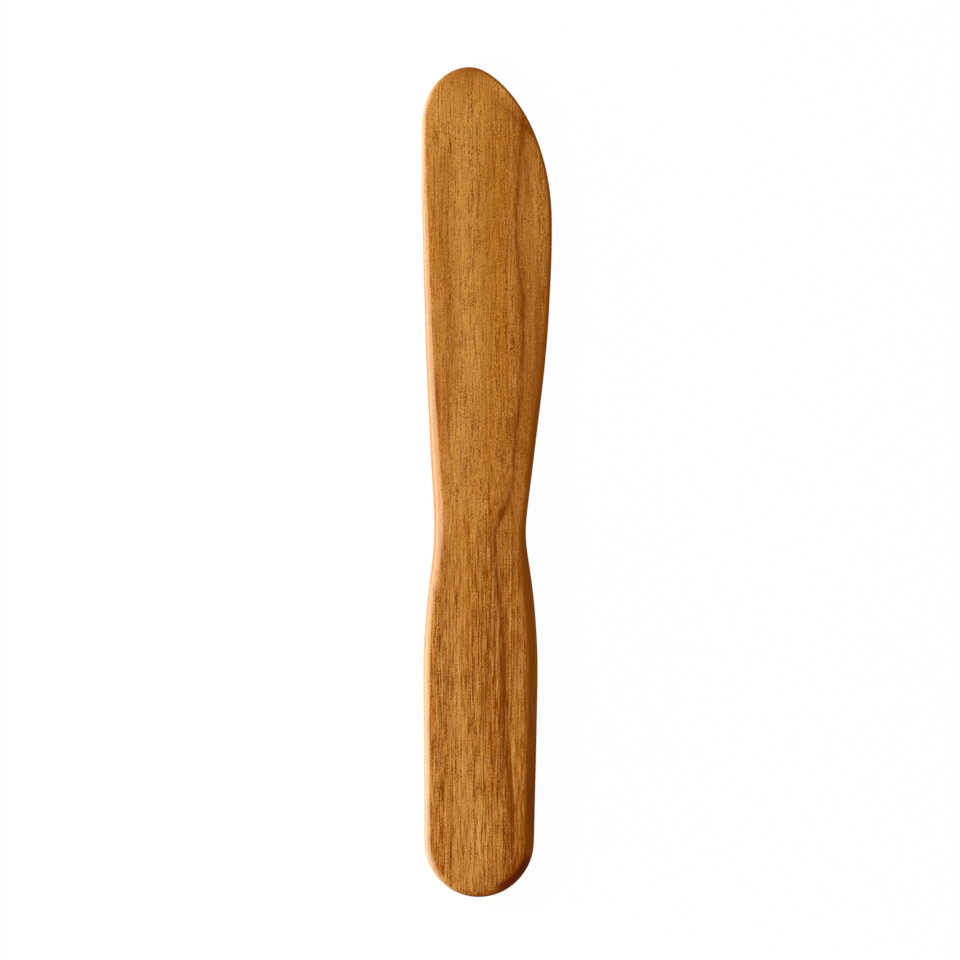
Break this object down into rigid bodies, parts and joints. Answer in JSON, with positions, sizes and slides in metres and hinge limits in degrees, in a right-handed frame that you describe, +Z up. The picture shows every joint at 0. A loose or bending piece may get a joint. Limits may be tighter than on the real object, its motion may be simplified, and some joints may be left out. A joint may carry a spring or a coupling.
{
  "type": "butter knife",
  "caption": "One-piece wooden butter knife: flat rounded handle, narrowed waist and a thin blunt blade with a straight spine, a curved belly and a round tip.",
  "frame": {"origin": "on the surface that the knife lies on, under the middle of its outline", "axes": "+Y from the butt of the handle to the tip of the blade, +X from the spine towards the cutting edge, +Z up out of the broad face"},
  "size_m": [0.0266, 0.17, 0.008],
  "materials": {
    "oiled_wood": "oiled satin, warm brown open-pored wood with the grain along the knife"
  },
  "bodies": {
    "root": {"butter_knife": "oiled_wood"}
  },
  "joints": []
}
